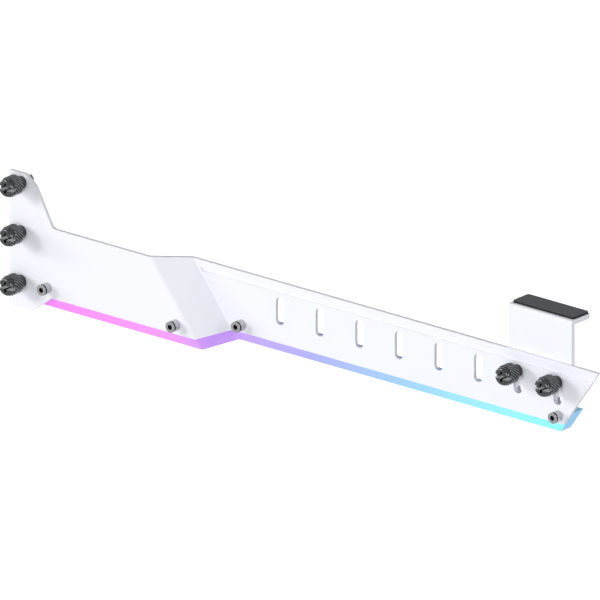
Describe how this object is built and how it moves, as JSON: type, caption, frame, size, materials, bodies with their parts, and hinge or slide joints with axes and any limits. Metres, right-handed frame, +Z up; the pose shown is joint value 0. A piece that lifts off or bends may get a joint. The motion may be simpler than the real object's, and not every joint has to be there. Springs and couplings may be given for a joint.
{
  "type": "graphics card support bracket",
  "caption": "Folded metal side bracket for a computer case with thumbscrews, slots, a height-adjustable padded support arm and a glowing light guide along its lower edge.",
  "frame": {"origin": "on the axis of the middle case thumbscrew, where it leaves the side plate's back face", "axes": "+X along the bracket towards the arm, +Y into the case along the thumbscrews, +Z up"},
  "size_m": [0.2885, 0.0332, 0.0559],
  "materials": {
    "white_paint": "satin white powder coat",
    "dark_foam": "matte soft pad",
    "black_steel": "black plated steel, knurled grip",
    "frosted_acrylic": "frosted acrylic, lit from pink through violet to cyan",
    "strip_film": "white flexible circuit",
    "led_chip": "moulded chip housing",
    "polished_steel": "polished stainless steel",
    "brass": "turned brass"
  },
  "bodies": {
    "bracket": {"side_plate": "white_paint", "light_guide": "frosted_acrylic", "led_strip": "strip_film", "led_chip_01": "led_chip", "led_chip_02": "led_chip", "led_chip_03": "led_chip", "led_chip_04": "led_chip", "led_chip_05": "led_chip", "led_chip_06": "led_chip", "led_chip_07": "led_chip", "led_chip_08": "led_chip", "led_chip_09": "led_chip", "led_chip_10": "led_chip", "led_chip_11": "led_chip", "led_chip_12": "led_chip", "led_chip_13": "led_chip", "led_chip_14": "led_chip", "led_chip_15": "led_chip", "led_chip_16": "led_chip", "guide_screw_1": "polished_steel", "guide_screw_2": "polished_steel", "guide_screw_3": "polished_steel", "guide_screw_4": "polished_steel", "guide_insert_1": "brass", "guide_insert_2": "brass", "guide_insert_3": "brass", "guide_insert_4": "brass"},
    "arm": {"support_arm": "white_paint", "arm_pad": "dark_foam"},
    "case_screw_bottom": {"case_thumbscrew_bottom": "black_steel"},
    "case_screw_middle": {"case_thumbscrew_middle": "black_steel"},
    "case_screw_top": {"case_thumbscrew_top": "black_steel"},
    "arm_screw_left": {"arm_thumbscrew_left": "black_steel"},
    "arm_screw_right": {"arm_thumbscrew_right": "black_steel"}
  },
  "joints": [
    {"name": "arm_height", "type": "slide", "parent": "bracket", "child": "arm", "axis": [0, 0, 1], "range_m": [-0.0008, 0]},
    {"name": "case_screw_bottom_turn", "type": "hinge", "parent": "bracket", "child": "case_screw_bottom", "pos_m": [0, 0, -0.02032], "axis": [0, 1, 0], "continuous": true},
    {"name": "case_screw_middle_turn", "type": "hinge", "parent": "bracket", "child": "case_screw_middle", "pos_m": [0, 0, 0], "axis": [0, 1, 0], "continuous": true},
    {"name": "case_screw_top_turn", "type": "hinge", "parent": "bracket", "child": "case_screw_top", "pos_m": [0, 0, 0.02032], "axis": [0, 1, 0], "continuous": true},
    {"name": "arm_screw_left_turn", "type": "hinge", "parent": "arm", "child": "arm_screw_left", "pos_m": [0.2418, 0.01025, -0.0035], "axis": [0, 1, 0], "continuous": true},
    {"name": "arm_screw_right_turn", "type": "hinge", "parent": "arm", "child": "arm_screw_right", "pos_m": [0.2618, 0.01025, -0.0035], "axis": [0, 1, 0], "continuous": true}
  ]
}
